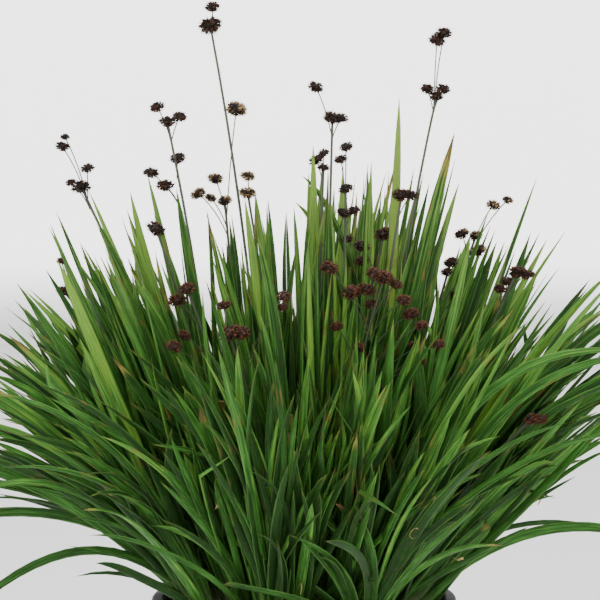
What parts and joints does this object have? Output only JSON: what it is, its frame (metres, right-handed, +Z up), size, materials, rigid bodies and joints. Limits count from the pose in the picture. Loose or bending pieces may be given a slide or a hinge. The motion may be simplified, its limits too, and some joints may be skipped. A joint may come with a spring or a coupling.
{
  "type": "potted rush",
  "caption": "Marginal pond rush in a round black nursery pot: a dense clump of flat sword-like leaves with thin stems of dark ball-like flower heads above them.",
  "frame": {"origin": "centre of the pot's flat underside", "axes": "+Z up out of the pot, -Y towards the side shown in the picture, +X to the right in the picture"},
  "size_m": [0.32, 0.3149, 0.3588],
  "materials": {
    "pot": "matt black moulded polypropylene",
    "compost": "damp dark peaty compost with fibres and grit",
    "leaf": "satin leaf surface, deep green to yellow-green, ribbed lengthways, with some brown tips",
    "flower_stem": "thin dull green stalk with dry dark brown bristly heads"
  },
  "bodies": {
    "root": {"pot": "pot", "compost": "compost", "flower_stem_01": "flower_stem", "flower_stem_02": "flower_stem", "flower_stem_03": "flower_stem", "flower_stem_04": "flower_stem", "flower_stem_05": "flower_stem", "flower_stem_06": "flower_stem", "flower_stem_07": "flower_stem", "flower_stem_08": "flower_stem", "flower_stem_09": "flower_stem", "flower_stem_10": "flower_stem", "flower_stem_11": "flower_stem", "flower_stem_12": "flower_stem", "flower_stem_13": "flower_stem", "flower_stem_14": "flower_stem", "flower_stem_15": "flower_stem", "flower_stem_16": "flower_stem", "flower_stem_17": "flower_stem", "flower_stem_18": "flower_stem", "flower_stem_19": "flower_stem", "flower_stem_20": "flower_stem", "leaf_fan_01": "leaf", "leaf_fan_02": "leaf", "leaf_fan_03": "leaf", "leaf_fan_04": "leaf", "leaf_fan_05": "leaf", "leaf_fan_06": "leaf", "leaf_fan_07": "leaf", "leaf_fan_08": "leaf", "leaf_fan_09": "leaf", "leaf_fan_10": "leaf", "leaf_fan_11": "leaf", "leaf_fan_12": "leaf", "leaf_fan_13": "leaf", "leaf_fan_14": "leaf", "leaf_fan_15": "leaf", "leaf_fan_16": "leaf", "leaf_fan_17": "leaf", "leaf_fan_18": "leaf", "leaf_fan_19": "leaf", "leaf_fan_20": "leaf", "leaf_fan_21": "leaf", "leaf_fan_22": "leaf", "leaf_fan_23": "leaf", "leaf_fan_24": "leaf", "leaf_fan_25": "leaf", "leaf_fan_26": "leaf", "leaf_fan_27": "leaf", "leaf_fan_28": "leaf", "leaf_fan_29": "leaf", "leaf_fan_30": "leaf", "leaf_fan_31": "leaf", "leaf_fan_32": "leaf", "leaf_fan_33": "leaf", "leaf_fan_34": "leaf", "leaf_fan_35": "leaf", "leaf_fan_36": "leaf"}
  },
  "joints": []
}
